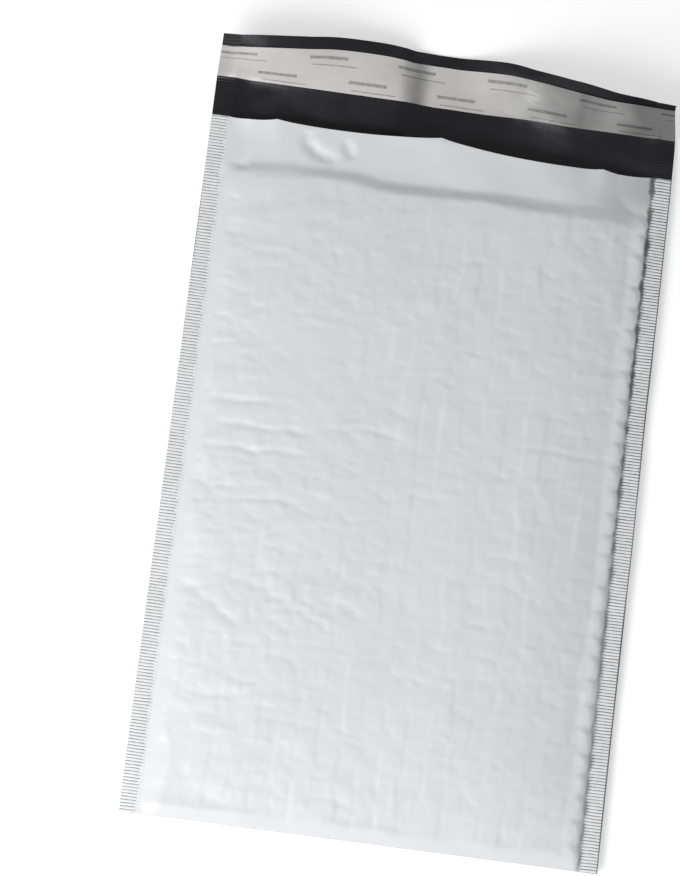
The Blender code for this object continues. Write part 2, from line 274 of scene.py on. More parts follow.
def curve_through(x, stations, values):
    """A smooth curve through the values at the stations, flat at each peak and dip."""
    stations, values = np.asarray(stations, float), np.asarray(values, float)
    slopes = np.diff(values) / np.diff(stations)
    turns = slopes[:-1] * slopes[1:] <= 0
    inner = np.where(turns, 0.0, (slopes[:-1] + slopes[1:]) / 2)
    tangents = np.concatenate([slopes[:1], inner, slopes[-1:]])
    i = np.clip(np.searchsorted(stations, x) - 1, 0, len(stations) - 2)
    length = stations[i + 1] - stations[i]
    t = np.clip((x - stations[i]) / length, 0.0, 1.0)
    rising = t * t * (3 - 2 * t)
    leave = t * (1 - t) ** 2 * length * tangents[i]
    arrive = t * t * (t - 1) * length * tangents[i + 1]
    return values[i] + (values[i + 1] - values[i]) * rising + leave + arrive


def along_line(x, y, points, height, half_width):
    """A ridge, or a groove if the height is below zero, that follows points and fades at both ends."""
    lengths = [math.dist(a, b) for a, b in zip(points, points[1:])]
    nearest = np.full(np.shape(x), np.inf)
    share = np.zeros(np.shape(x))
    done = 0.0
    for (ax, ay), (bx, by), length in zip(points, points[1:], lengths):
        dx, dy = (bx - ax) / length, (by - ay) / length
        along = np.clip((x - ax) * dx + (y - ay) * dy, 0.0, length)
        distance = (x - ax - along * dx) ** 2 + (y - ay - along * dy) ** 2
        closer = distance < nearest
        nearest = np.where(closer, distance, nearest)
        share = np.where(closer, (done + along) / sum(lengths), share)
        done += length
    fade = np.sqrt(np.maximum(4 * share * (1 - share), 0.0))
    return height * fade * np.exp(-nearest / half_width ** 2)


def length_setting(name, description, default, precision=4):
    return FloatProperty(name=name, description=description, default=default, unit="LENGTH",
                         precision=precision)


def colour_setting(name, description, default):
    return FloatVectorProperty(name=name, description=description, default=default,
                               subtype="COLOR", size=3, min=0, max=1)


class FilmSettings(bpy.types.PropertyGroup):
    """Sizes and colours of the outer film."""

    width: length_setting("Width", "Width over both welds", FILM_HIGH.x - FILM_LOW.x)
    body_length: length_setting("Body Length", "From the bottom fold to the mouth", 0.362)
    flap_length: length_setting("Flap Length", "From the mouth to the flap's free edge", 0.050)
    thickness: length_setting("Film Thickness", "Thickness of one film", 0.0002, 5)
    seal_width: length_setting("Weld Width", "Width of a side weld", 0.0095)
    rib_pitch: length_setting("Rib Pitch", "Distance between two ribs of a weld", 0.0016)
    rib_depth: length_setting("Rib Depth", "Depth of the weld's ribs", 0.00022, 5)
    pad_height: length_setting(
        "Padding Height", "Height of both padded walls lying on each other", 0.0085)
    pocket_height: length_setting("Pocket Height", "How much the empty pocket stands open", 0.0058)
    pocket_run: length_setting(
        "Pocket Run", "How far from the fold the pocket reaches its height", 0.080, 3)
    fold_run: length_setting(
        "Fold Run", "How far from the fold the padding reaches its thickness", 0.009)
    white: colour_setting("White", "Colour of the film's outside", (0.775, 0.785, 0.81))
    black: colour_setting("Black", "Colour of the film's inside", (0.0095, 0.0088, 0.0115))
    weld_white: colour_setting(
        "Weld White", "Colour of a weld between its pressed lines", (0.87, 0.88, 0.90))
    rib_grey: colour_setting(
        "Rib Grey", "Colour of the pressed lines of the left weld", (0.28, 0.28, 0.30))


class LiningSettings(bpy.types.PropertyGroup):
    """Sizes and colour of the bubble lining."""

    wall: length_setting("Wall", "Thickness of one wall, bubbles included", 0.0030)
    sheet: length_setting("Sheet", "Thickness of the sheet between the bubbles", 0.0006, 5)
    end: length_setting(
        "End", "From the bottom fold to the lining's cut edge", LINING_HIGH.y - FILM_LOW.y)
    bubble_pitch: length_setting("Bubble Pitch", "Distance between two bubbles of a column", 0.0122)
    bubble_width: length_setting("Bubble Width", "Width of one bubble", 0.0100)
    imprint: length_setting("Imprint", "How far the film sinks between the bubbles", 0.00021, 5)
    colour: colour_setting("Colour", "Colour of the milky bubble sheet", (0.74, 0.77, 0.80))


class StripSettings(bpy.types.PropertyGroup):
    """Sizes and colours of the glue and of the release liner that covers it."""

    liner_foot: length_setting("Liner Foot", "From the mouth to the release liner", 0.0216)
    liner_width: length_setting("Liner Width", "Width of the release liner", 0.022)
    glue_width: length_setting("Glue Width", "Width of the band of glue", 0.015)
    glue_from_side: length_setting("Glue From Side", "From the film's side edge to the glue", 0.004)
    glue_thickness: length_setting("Glue Thickness", "Thickness of the band of glue", 0.0002, 5)
    liner_thickness: length_setting("Liner Thickness", "Thickness of the release liner", 0.00012, 5)
    clearance: length_setting(
        "Clearance", "Room between the flap, the glue and the liner", 0.00012, 5)
    silver: colour_setting("Silver", "Colour of the release liner", (0.66, 0.65, 0.645))
    dash_grey: colour_setting(
        "Dash Grey", "Colour of the plain dashes on the release liner", (0.28, 0.275, 0.275))
    amber: colour_setting("Amber", "Colour of the glue", (0.80, 0.74, 0.52))


class StageSettings(bpy.types.PropertyGroup):
    """The light, floor and camera."""

    key_power: FloatProperty(
        name="Key Power", description="Power of the large lamp at the lower left",
        default=9.5, unit="POWER", min=0)
    fill: FloatProperty(
        name="Fill", description="Strength of the light from all round", default=0.40, min=0)
    floor_lift: FloatProperty(
        name="Floor Lift", description="How much whiter the camera sees the floor",
        default=0.40, min=0)
    lens: FloatProperty(
        name="Lens", description="Focal length of the camera in millimetres",
        default=156.4, min=1)


class EnvelopeForm:
    """The envelope's surfaces, as heights over the flat film's x and y."""

    def __init__(self, film, lining, strips):
        self.film = film
        self.liner_foot = strips.liner_foot
        self.liner_top = strips.liner_foot + strips.liner_width
        self.half_width = film.width / 2
        self.weld_x = self.half_width - film.seal_width
        self.weld_z = film.pad_height / 2
        self.body = film.body_length
        self.flap = film.flap_length
        self.lining_end = lining.end
        self.pitch = lining.bubble_pitch
        self.column = self.pitch * math.sqrt(3) / 2
        self.imprint = lining.imprint
        self.short_creases = self.chance_creases()

    def chance_creases(self):
        """Short stepped creases at seeded places, closer together on the left and halfway up."""
        rng = np.random.default_rng(SHORT_SEED)
        found = []
        while len(found) < SHORT_CREASES:
            x = rng.uniform(-SHORT_REACH, SHORT_REACH)
            y = rng.uniform(SHORT_FROM_FOLD, self.lining_end - SHORT_FROM_EDGE)
            off = (y - LEFT_DENSE_AT) / LEFT_DENSE_RUN
            density = SHORT_DENSITY + LEFT_DENSITY * (x < 0) * math.exp(-off ** 2)
            length, slope, depth, half_width, draw = rng.uniform(0, 1, 5)
            if draw > density:
                continue
            length = SHORT_LENGTH[0] + length ** 2 * (SHORT_LENGTH[1] - SHORT_LENGTH[0])
            rise_y = length * SHORT_SLOPE * (2 * slope - 1)
            depth = SHORT_DEPTH[0] + depth * (SHORT_DEPTH[1] - SHORT_DEPTH[0])
            half_width = SHORT_WIDTH[0] + half_width * (SHORT_WIDTH[1] - SHORT_WIDTH[0])
            down = SHORT_STEP * rng.uniform(-0.2, 1.0)
            points = ((x - length / 2, y - rise_y), (x - SHORT_STEP_RUN, y),
                      (x + SHORT_STEP_RUN, y - down), (x + length / 2, y - down + rise_y))
            found.append((points, depth, half_width))
        return found

    def row_phase(self, x, y):
        """How many bubbles up from the fold this is, with a little stray."""
        return y / self.pitch + 0.25 * soft_noise(x * 0, y, 0.02, 0.02, 5)

    def side_rise(self, x, y):
        """0 at the welds and 1 on the pad: straight on the left, scalloped on the right."""
        distance = self.weld_x - np.abs(x)
        left = ramp(distance, LEFT_RUN * (1 + 0.16 * soft_noise(x * 0, y, 0.03, 0.014, 6)))
        bulge = np.abs(np.sin(np.pi * self.row_phase(x, y))) ** SCALLOP_POWER
        wide = 1 - bulge * (1 + 0.3 * soft_noise(x * 0, y, 0.02, 0.011, 9))
        wall = rise(distance, WALL_RUNS[0] + (WALL_RUNS[1] - WALL_RUNS[0]) * np.maximum(wide, 0))
        slope = rise(distance, RIGHT_RUN * (1 - SCALLOP_SHARE * bulge))
        return np.where(x < 0, left, slope + WALL_SHARE * (wall - slope))

    def tucks(self, x, y):
        """Short dips that run in from a weld between two bubbles, no two of them alike."""
        distance = self.weld_x - np.abs(x)
        right = x > 0
        phase = self.row_phase(x, y + TUCK_SLANT * distance)
        row = np.round(phase)
        off = (phase - row) * self.pitch / TUCK_WIDTH
        start = np.where(right, 0.0, TUCK_START * (0.6 + 0.8 * chance(row, row, 0)))
        length = TUCK_LENGTH * (0.35 + 0.65 * chance(row, row, 1)) * np.where(right, 0.7, 1.0)
        reach = (smooth_step(distance, start, start + 0.0035)
                 * (1 - smooth_step(distance, start + length * 0.4, start + length)))
        reach = reach * smooth_step(y, 0.014, 0.024)
        return -TUCK_DEPTH * chance(row, row, 2) * reach * np.exp(-off * off)

    def fold_rise(self, x, y):
        """0 at the bottom fold and 1 on the pad, over a run that varies across."""
        run = self.film.fold_run * (1 + 0.25 * soft_noise(x, y * 0, 0.028, 0.03, 8))
        return rise(y, run)

    def nearest_bubble(self, x, y):
        """Distance to the nearest bubble's middle. Every other column is half a pitch up."""
        found = []
        for step in (0, 1):
            column = np.floor(x / self.column) + step
            up = y - self.pitch / 2 * (column % 2)
            up = up - np.round(up / self.pitch) * self.pitch
            found.append(np.hypot(x - column * self.column, up))
        return np.minimum(*found)

    def bubble_relief(self, x, y):
        """The film over the bubbles: a patch on each, askew, with creases between columns and rows."""
        x = x + 0.0019 * soft_noise(x, y, 0.015, 0.017, 24)
        y = y + 0.0026 * soft_noise(x, y, 0.017, 0.015, 25)
        column = np.round(x / self.column)
        along = y / self.pitch - 0.5 * (column % 2)
        row = np.round(along)
        u, v = x / self.column - column, along - row
        level, turn_x, turn_y, sink = (2 * chance(column, row, kind) - 1 for kind in range(4))
        inside = (1 - (2 * u) ** 8) * (1 - (2 * v) ** 8)
        tilt = turn_x * u + turn_y * v
        height = inside * (0.45 * level + 1.3 * tilt) + (0.45 + 0.3 * sink) * inside
        shift = COLUMN_SHIFT * smooth_step(x, -0.070, -0.015)
        height = height + shift * soft_noise(0.04 * column, y, 0.04, 0.045, 26)
        return self.imprint * height * (0.85 + 0.55 * soft_noise(x, y, 0.045, 0.055, 21))

    def slack_patches(self, x, y):
        """Slack film in staggered patches with crisp borders, each tilted its own way."""
        height = 0.0
        for wide, high, depth, seed in SLACK_PATCHES:
            u = x + 0.35 * wide * soft_noise(x, y, 1.6 * wide, 1.6 * high, seed)
            v = y + 0.35 * high * soft_noise(x, y, 1.6 * wide, 1.6 * high, seed + 1)
            row = np.floor(v / high)
            across = u / wide + chance(row, row + seed, 3)
            column = np.floor(across)
            u, v = across - column - 0.5, v / high - row - 0.5
            turn_x, turn_y, level = (2 * chance(column + seed, row, kind) - 1 for kind in range(3))
            inside = (1 - (2 * u) ** 8) * (1 - (2 * v) ** 8)
            height = height + depth * inside * (turn_x * u + turn_y * v + 0.3 * level)
        return height * (0.8 + 0.6 * soft_noise(x, y, 0.05, 0.04, 23))

    def pad_mask(self, x, y):
        """1 over the lining and 0 past its edges."""
        return (smooth_step(self.weld_x - np.abs(x), 0.001, 0.007)
                * smooth_step(y, 0.003, 0.008)
                * smooth_step(self.lining_end - y, -0.001, 0.005))

    def wrinkles(self, x, y):
        """Soft waves and creases of the loose film over the lining."""
        left = smooth_step(-x, -0.05, 0.06)
        height = 0.00030 * soft_noise(x, y, 0.060, 0.030, 31)
        height += 0.00016 * soft_noise(x, y, 0.024, 0.0085, 32) * (0.55 + 0.65 * left)
        height += self.slack_patches(x, y)
        y = y + 0.0011 * soft_noise(x, y, 0.009, 0.03, 34)
        for points, depth, half_width in CREASES:
            height -= along_line(x, y, points, depth, half_width)
        for points, depth, half_width in self.short_creases:
            height -= along_line(x, y, points, depth, half_width)
        return height

    def mouth_dents(self, x, y):
        height = np.zeros(np.shape(x))
        for points, depth, half_width in DENTS:
            height -= along_line(x, y, points, depth, half_width)
        return height

    def lining_step(self, x, y):
        """How far the film has dropped past the lining's cut edge, which wanders across."""
        middle = self.body - STEP_BELOW_MOUTH + STEP_WANDER * (
            soft_noise(x, x * 0, 0.034, 0.034, 41) + 0.4 * soft_noise(x, x * 0, 0.013, 0.013, 42))
        run = STEP_RUN * (1 + 0.25 * soft_noise(x, x * 0, 0.020, 0.020, 44))
        depth = STEP_DEPTH * (0.72 + 0.25 * soft_noise(x, x * 0, 0.028, 0.028, 43)
                              + 0.40 * np.exp(-((x + 0.01) / 0.05) ** 2))
        return depth * smooth_step(y, middle - run / 2, middle + run / 2)

    def mouth_edge(self, x):
        """How far up the front film's cut edge is."""
        edge = self.body + np.interp(x, MOUTH_TIPS_X, MOUTH_TIPS_Y)
        for start, end, droop in zip(MOUTH_TIPS_X, MOUTH_TIPS_X[1:], MOUTH_DROOPS):
            t = np.clip((x - start) / (end - start), 0.0, 1.0)
            edge -= droop * (4 * t * (1 - t)) ** DROOP_POWER
        return edge

    def crown(self, x, y):
        """The pocket's share of its height: level in the middle, down to the sides and the fold."""
        across = 1 - np.minimum(np.abs(x) / (self.weld_x - ARCH_INSET), 1.0) ** 4
        along = 1 - (1 - np.clip((y - self.film.fold_run) / self.film.pocket_run, 0, 1)) ** 3
        return across * along

    def front_base(self, x, y):
        """The front film without its details, over the lining and on to the mouth."""
        full = self.film.pad_height + self.film.pocket_height * self.crown(x, y)
        full = full - self.lining_step(x, y)
        share = np.clip((y - self.lining_end) / (self.body - self.lining_end), 0, 1) ** 2.2
        full = full - LIP_DROOP * (smooth_step(x, 0.066, 0.106)
                                   * smooth_step(y - self.lining_end, 0.002, 0.014))
        rim = np.interp(x, RIM_X, RIM_Z)
        return full + (rim + self.film.thickness - full) * share

    def front(self, x, y):
        """Height of the front film's outer face."""
        details = (self.bubble_relief(x, y) + self.wrinkles(x, y)) * self.pad_mask(x, y)
        details = details + self.mouth_dents(x, y) + self.tucks(x, y)
        loose = smooth_step(y, self.lining_end, self.lining_end + 0.010)
        details = details + loose * 0.00035 * soft_noise(x, y, 0.020, 0.014, 51)
        top = self.weld_z + self.film.thickness
        height = np.maximum(self.front_base(x, y) + details - top, LEAST_RISE)
        return top + height * self.side_rise(x, y) * self.fold_rise(x, y)

    def front_inside(self, x, y):
        """The film's inner face, a film's thickness below at the mouth and further down inside."""
        deeper = INSIDE_SLACK * smooth_step(self.mouth_edge(x) - y, 0.0, 0.006)
        height = self.front(x, y) - self.film.thickness - deeper
        return np.maximum(height, self.weld_z)

    def back(self, x, y):
        """Height of the back film's outer face: on the floor, and up to the welds at its edges."""
        flat = rise(self.weld_x - np.abs(x), BACK_RUN) * rise(y, self.film.fold_run)
        return (self.weld_z - self.film.thickness) * (1 - flat)

    def edge_wave(self, y, side):
        """How far a weld's edge strays sideways and up from a straight line."""
        away = 0.00035 * soft_noise(y * 0 + side * 0.1, y, 0.05, 0.045, 61)
        up = 0.00060 * soft_noise(y * 0 + side * 0.1, y, 0.05, 0.032, 62)
        return side * away, up

    def weld_lift(self, x, y):
        """The weld's gentle wave up and down, growing towards its outer edge."""
        side = np.sign(x)
        share = np.clip((np.abs(x) - self.weld_x) / self.film.seal_width, 0, 1)
        return share * self.edge_wave(y, side)[1]

    def flap_angle(self, x, up):
        """The flap's angle above the floor: on its bare band, along the liner, then at its edge."""
        share, *angles = zip(*FLAP_STATIONS)
        band, liner, edge = (curve_through(x / self.half_width, share, each) for each in angles)
        onto_liner = smooth_step(up, self.liner_foot - FLAP_BEND, self.liner_foot + FLAP_BEND)
        off_liner = smooth_step(up, self.liner_top - FLAP_BEND, self.liner_top + FLAP_BEND)
        angle = np.radians(band + (liner - band) * onto_liner + (edge - liner) * off_liner)
        return angle * smooth_step(up, 0.0, FLAP_BEND)

    def flap_point(self, x, up, lift):
        """A point on the flap, `up` from the mouth along its bent film."""
        run = climb = 0.0
        for i in range(ARC_STEPS):
            angle = self.flap_angle(x, up * (i + 0.5) / ARC_STEPS)
            run = run + np.cos(angle) / ARC_STEPS
            climb = climb + np.sin(angle) / ARC_STEPS
        angle = self.flap_angle(x, up)
        start = self.back(x, self.body + 0 * x) + self.weld_lift(x, self.body + 0 * x)
        ripple = FLAP_RIPPLE * smooth_step(up, 0.0, 0.008) * (
            soft_noise(x, up, 0.016, 0.011, 71) + 0.5 * soft_noise(x, up, 0.007, 0.009, 72) + 1)
        drawn_in = DRAWN_IN * (smooth_step(x / self.half_width, DRAWN_IN_FROM, 1.0)
                               * smooth_step(up, self.liner_foot - FLAP_BEND, self.flap))
        y = self.body + up * run - lift * np.sin(angle)
        z = start * (1 - up / self.flap) + up * climb + lift * np.cos(angle) + ripple
        return np.stack([x - drawn_in + 0 * up, y, z], axis=-1)


class Skin:
    """One closed surface, gathered patch by patch. Patches share points by their numbers."""

    def __init__(self):
        self.places = np.empty((0, 3))
        self.flat = np.empty((0, 2))
        self.faces = []
        self.finishes = []

    def grid(self, places, flat):
        """Numbers of new points, in the rows and columns of the arrays given."""
        first = len(self.places)
        self.places = np.vstack([self.places, places.reshape(-1, 3)])
        self.flat = np.vstack([self.flat, flat.reshape(-1, 2)])
        return np.arange(first, len(self.places)).reshape(places.shape[:2])

    def sheet(self, height, x, y, finish):
        """A grid of heights over flat x and y, filled with faces."""
        places = np.stack([x, y, height(x, y)], axis=-1)
        numbers = self.grid(places, np.stack([x, y], axis=-1))
        self.fill(numbers, finish)
        return numbers

    def fill(self, numbers, finish):
        corners = (numbers[:-1, :-1], numbers[:-1, 1:], numbers[1:, 1:], numbers[1:, :-1])
        quads = np.stack(corners, axis=-1).reshape(-1, 4)
        self.faces += quads.tolist()
        self.finishes += [finish] * len(quads)

    def join(self, first, second, along, finish):
        """Fills between two rows of points, stepping to the next point of either along an axis."""
        a, b = self.places[first, along], self.places[second, along]
        i = j = 0
        while i < len(first) - 1 or j < len(second) - 1:
            if j == len(second) - 1 or (i < len(first) - 1 and a[i + 1] <= b[j + 1]):
                corners = (first[i], first[i + 1], second[j])
                i += 1
            else:
                corners = (first[i], second[j + 1], second[j])
                j += 1
            if len(set(corners)) == 3:
                self.faces.append([int(corner) for corner in corners])
                self.finishes.append(finish)

    def pair(self, first, second, finish):
        """Fills between two rows with the same number of points."""
        self.fill(np.array([first, second]), finish)

    def to_object(self, name, materials):
        mesh = bpy.data.meshes.new(name)
        mesh.from_pydata(self.places + (0, FILM_LOW.y, 0), [], self.faces)
        mesh.polygons.foreach_set("material_index", self.finishes)
        corners = np.empty(len(mesh.loops), np.int32)
        mesh.loops.foreach_get("vertex_index", corners)
        layer = mesh.uv_layers.new(name=FLAT_MAP)
        layer.uv.foreach_set("vector", self.flat[corners].astype(np.float32).ravel())
        for material in materials:
            mesh.materials.append(material)
        work = bmesh.new()
        work.from_mesh(mesh)
        bmesh.ops.recalc_face_normals(work, faces=work.faces)
        work.to_mesh(mesh)
        work.free()
        mesh.shade_smooth()
        mesh.set_sharp_from_angle(angle=SHARP_ANGLE)
        made = bpy.data.objects.new(name, mesh)
        bpy.context.scene.collection.objects.link(made)
        return made


def even_stations(start, end, step):
    return np.linspace(start, end, max(1, round((end - start) / step)) + 1)


def front_grid(form, step):
    """Flat places from weld to weld and from the fold to the front film's cut edge."""
    edge = form.weld_x - EDGE_ZONE
    zone = even_stations(edge, form.weld_x, step / 2)
    across = np.concatenate([-zone[:0:-1], even_stations(-edge, edge, step), zone[1:]])
    up = even_stations(0.0, form.body, step)
    x, y = np.meshgrid(across, up)
    start = form.body - MOUTH_FROM_EDGE
    share = np.clip((y - start) / MOUTH_FROM_EDGE, 0.0, 1.0)
    y = np.where(share > 0, start + share * (form.mouth_edge(x) - start), y)
    return x, y


# Places of the bag's materials
WHITE, WELD, BLACK = range(3)


def rib_patch(skin, form, side):
    """The crimped ribs of one side weld, from its inner margin to its outer edge."""
    film = form.film
    count = round(form.body / film.rib_pitch) * RIB_ROWS
    rows = np.linspace(0.0, form.body, count + 1)
    inner = form.weld_x + RIB_MARGIN
    columns = side * np.array([inner, inner + RIB_SET_IN, (inner + form.half_width) / 2,
                               form.half_width - RIB_FADE, form.half_width])
    x, y = np.meshgrid(columns, rows)
    away, up = form.edge_wave(y, side)
    depth = film.rib_depth * np.array([0.0, 1.0, 1.0, 1.0, RIB_EDGE_SHARE])
    share = np.clip((np.abs(x) - form.weld_x) / film.seal_width, 0, 1)
    rib = (1 + np.cos(2 * np.pi * (y / film.rib_pitch + 0.5))) / 2
    top = form.weld_z + film.thickness + rib * depth + share * up
    ends = smooth_step(y, 0.0, 0.01) * smooth_step(form.body - y, 0.0, 0.01)
    places = np.stack([x + share * away * ends, y, top], axis=-1)
    numbers = skin.grid(places, np.stack([x, y], axis=-1))
    skin.fill(numbers, WELD)
    return numbers


def make_film(form, materials):
    """The bag: one film folded at the bottom, welded down both sides, with its flap."""
    skin = Skin()
    film = form.film
    front = skin.sheet(form.front, *front_grid(form, FRONT_STEP), WHITE)
    inside = skin.sheet(form.front_inside, *front_grid(form, INSIDE_STEP), BLACK)
    back_columns = np.concatenate([
        [-form.half_width], even_stations(-form.weld_x, form.weld_x, BACK_STEP), [form.half_width]])
    back_rows = even_stations(0.0, form.body, BACK_STEP)[:-1]

    def back_weld(x, y):
        return form.back(x, y) + form.weld_lift(x, y)

    x, y = np.meshgrid(back_columns, back_rows)
    back = skin.sheet(back_weld, x, y, WHITE)
    x, y = np.meshgrid(even_stations(-form.weld_x, form.weld_x, INSIDE_STEP),
                       even_stations(0.0, form.body, INSIDE_STEP)[1:-1])
    back_inside = skin.sheet(lambda x, y: form.back(x, y) + film.thickness, x, y, BLACK)

    flap_columns = np.concatenate([
        [-form.half_width], even_stations(-form.weld_x, form.weld_x, FLAP_STEP), [form.half_width]])
    x, up = np.meshgrid(flap_columns, even_stations(0.0, form.flap, FLAP_STEP))
    flat = np.stack([x, form.body + up], axis=-1)
    flap_inside = skin.grid(form.flap_point(x, up, film.thickness), flat)
    skin.fill(flap_inside, BLACK)
    flap_outside = skin.grid(form.flap_point(x, up, 0.0), flat)
    skin.fill(flap_outside, WHITE)

    skin.join(front[-1], inside[-1], 0, BLACK)
    skin.join(inside[0], back_inside[0], 0, BLACK)
    skin.join(back_inside[-1], flap_inside[0][1:-1], 0, BLACK)
    skin.join(back[-1], flap_outside[0], 0, WHITE)
    skin.pair(flap_inside[-1], flap_outside[-1], BLACK)
    bottom = [None, front[0], None]
    for side in (-1, 1):
        ribs = rib_patch(skin, form, side)
        end, beside = (0, 1) if side < 0 else (-1, -2)
        outer, inner = flap_inside[0][end], flap_inside[0][beside]
        skin.join(front[:, end], ribs[:, 0], 1, WHITE)
        skin.join([*ribs[:, -1], outer], [*back[:, end], flap_outside[0][end]], 1, BLACK)
        skin.pair(flap_inside[:, end], flap_outside[:, end], BLACK)
        skin.join([front[-1][end], *ribs[-1]][::side], [inner, outer][::side], 0, BLACK)
        skin.join(inside[:, end], [*back_inside[:, end], inner], 1, BLACK)
        skin.faces.append([int(corner) for corner in (front[-1][end], inside[-1][end], inner)])
        skin.finishes.append(BLACK)
        bottom[side + 1] = list(ribs[0])[::side]
    skin.join(bottom[0] + list(bottom[1]) + bottom[2], back[0], 0, WHITE)
    return skin.to_object("film_bag", materials)


def thin_sheet(name, form, half_width, foot, top, lift, thickness, step, material):
    """A flat strip across the flap, which follows its curl at a given lift."""
    skin = Skin()
    x, up = np.meshgrid(even_stations(-half_width, half_width, step),
                        even_stations(foot, top, step))
    flat = np.stack([x, form.body + up], axis=-1)
    lower = skin.grid(form.flap_point(x, up, lift), flat)
    upper = skin.grid(form.flap_point(x, up, lift + thickness), flat)
    for face in (lower, upper):
        skin.fill(face, 0)
    for edge in (np.s_[0], np.s_[-1], np.s_[:, 0], np.s_[:, -1]):
        skin.pair(lower[edge], upper[edge], 0)
    return skin.to_object(name, [material])


def make_lining(form, lining, material):
    """The bubble sheet: one sheet folded at the bottom, its bubbles facing the film."""
    skin = Skin()
    side = form.weld_x - LINING_FROM_WELD
    x, y = np.meshgrid(even_stations(-side, side, LINING_STEP),
                       even_stations(LINING_FROM_FOLD, form.lining_end, LINING_STEP))
    radius = form.nearest_bubble(x, y) / (lining.bubble_width / 2)
    dome = np.sqrt(np.clip(1 - radius ** 4, 0, 1))
    whole = (smooth_step(form.lining_end - EDGE_FLANGE - y, 0.0, 0.003)
             * smooth_step(side - np.abs(x), 0.002, 0.006) * smooth_step(y, 0.008, 0.014))
    film = form.film.thickness
    top = form.weld_z + film + (form.front_base(x, y) - form.weld_z - film) * (
        rise(form.weld_x - np.abs(x), LEFT_RUN + 0.002) * rise(y, form.film.fold_run + 0.002))
    floor = form.back(x, y) + film + LINING_ROOM
    ceiling = np.maximum(top - LINING_BELOW_FILM, floor + 2 * LINING_ROOM)
    wall = np.minimum(lining.wall, (ceiling - floor - LINING_ROOM) / 2)
    sheet = np.minimum(lining.sheet, wall * 0.4)
    thick = sheet + (wall - sheet) * dome * whole
    flat = np.stack([x, y], axis=-1)

    def layer(height):
        numbers = skin.grid(np.stack([x, y, height], axis=-1), flat)
        skin.fill(numbers, 0)
        return numbers

    front = layer(ceiling - wall + thick)
    front_inside = layer(ceiling - wall)
    back_inside = layer(floor + wall)
    back = layer(floor + wall - thick)
    for edge in (np.s_[-1], np.s_[:, 0], np.s_[:, -1]):
        skin.pair(front[edge], front_inside[edge], 0)
        skin.pair(back[edge], back_inside[edge], 0)
    skin.pair(front[0], back[0], 0)
    skin.pair(front_inside[0], back_inside[0], 0)
    for end in (0, -1):
        skin.faces.append([int(n[0][end]) for n in (front, front_inside, back_inside, back)])
        skin.finishes.append(0)
    return skin.to_object("bubble_sheet", [material])


class Finish:
    """A procedural material in the making."""

    def __init__(self, name, colour, roughness):
        self.material = bpy.data.materials.new(name)
        self.material.use_nodes = True
        self.tree = self.material.node_tree
        self.shader = self.tree.nodes["Principled BSDF"]
        self.shader.inputs["Base Color"].default_value = (*colour, 1.0)
        self.shader.inputs["Roughness"].default_value = roughness
        self.flat = self.node("ShaderNodeUVMap", uv_map=FLAT_MAP).outputs["UV"]

    def node(self, kind, **settings):
        made = self.tree.nodes.new(kind)
        for name, value in settings.items():
            setattr(made, name, value)
        return made

    def put(self, value, socket):
        """Links an output, or sets a plain value."""
        if isinstance(value, bpy.types.NodeSocket):
            self.tree.links.new(value, socket)
        else:
            socket.default_value = value

    def math(self, operation, first, second=0.0, third=0.0):
        made = self.node("ShaderNodeMath", operation=operation)
        for socket, value in zip(made.inputs, (first, second, third)):
            self.put(value, socket)
        return made.outputs["Value"]

    def times(self, first, second):
        return self.math("MULTIPLY", first, second)

    def plus(self, first, second):
        return self.math("ADD", first, second)

    def minus(self, first, second):
        return self.math("SUBTRACT", first, second)

    def larger(self, first, second):
        return self.math("MAXIMUM", first, second)

    def apart(self, value, middle):
        """How far a value lies from a middle, to either side."""
        return self.math("ABSOLUTE", self.minus(value, middle))

    def noise(self, scale, detail=3.0, roughness=0.55, stretch=(1.0, 1.0)):
        """Noise over the flat film, from 0 to 1, with the given number of spots to a metre."""
        scaled = self.node("ShaderNodeMapping")
        self.put(self.flat, scaled.inputs["Vector"])
        scaled.inputs["Scale"].default_value = (*stretch, 1.0)
        made = self.node("ShaderNodeTexNoise", noise_dimensions="2D")
        self.put(scaled.outputs["Vector"], made.inputs["Vector"])
        for name, value in (("Scale", scale), ("Detail", detail), ("Roughness", roughness)):
            made.inputs[name].default_value = value
        return made.outputs["Fac"]

    def span(self, value, low, high, at_low=0.0, at_high=1.0, smooth=False):
        """Maps a value from one span to another, held at both ends."""
        made = self.node("ShaderNodeMapRange", clamp=True)
        if smooth:
            made.interpolation_type = "SMOOTHSTEP"
        for socket, given in zip(made.inputs, (value, low, high, at_low, at_high)):
            self.put(given, socket)
        return made.outputs["Result"]

    def mix(self, share, first, second):
        made = self.node("ShaderNodeMix", data_type="RGBA")
        self.put(share, made.inputs["Factor"])
        for value, socket in ((first, made.inputs["A"]), (second, made.inputs["B"])):
            self.put(value if isinstance(value, bpy.types.NodeSocket) else (*value, 1.0), socket)
        return made.outputs["Result"]

    def spots(self, scale, detail=3.0, at_low=0.0, at_high=1.0, **noise):
        """Soft spots of noise, from one value to another."""
        return self.span(self.noise(scale, detail, **noise), 0.35, 0.65, at_low, at_high)

    def mottled(self, colour, share, scale, **noise):
        """The colour with soft spots in it, darkened to a share."""
        return self.mix(self.spots(scale, **noise), colour, darker(colour, share))

    def coordinates(self):
        """The flat film's x and y."""
        made = self.node("ShaderNodeSeparateXYZ")
        self.put(self.flat, made.inputs["Vector"])
        return made.outputs["X"], made.outputs["Y"]

    def colour(self, value):
        self.put(value, self.shader.inputs["Base Color"])

    def rough(self, value):
        self.put(value, self.shader.inputs["Roughness"])

    def bump(self, height, depth):
        """Raises the surface by a height from 0 to 1, times a depth in metres."""
        made = self.node("ShaderNodeBump")
        made.inputs["Strength"].default_value = 1.0
        made.inputs["Distance"].default_value = depth
        self.put(height, made.inputs["Height"])
        self.put(made.outputs["Normal"], self.shader.inputs["Normal"])


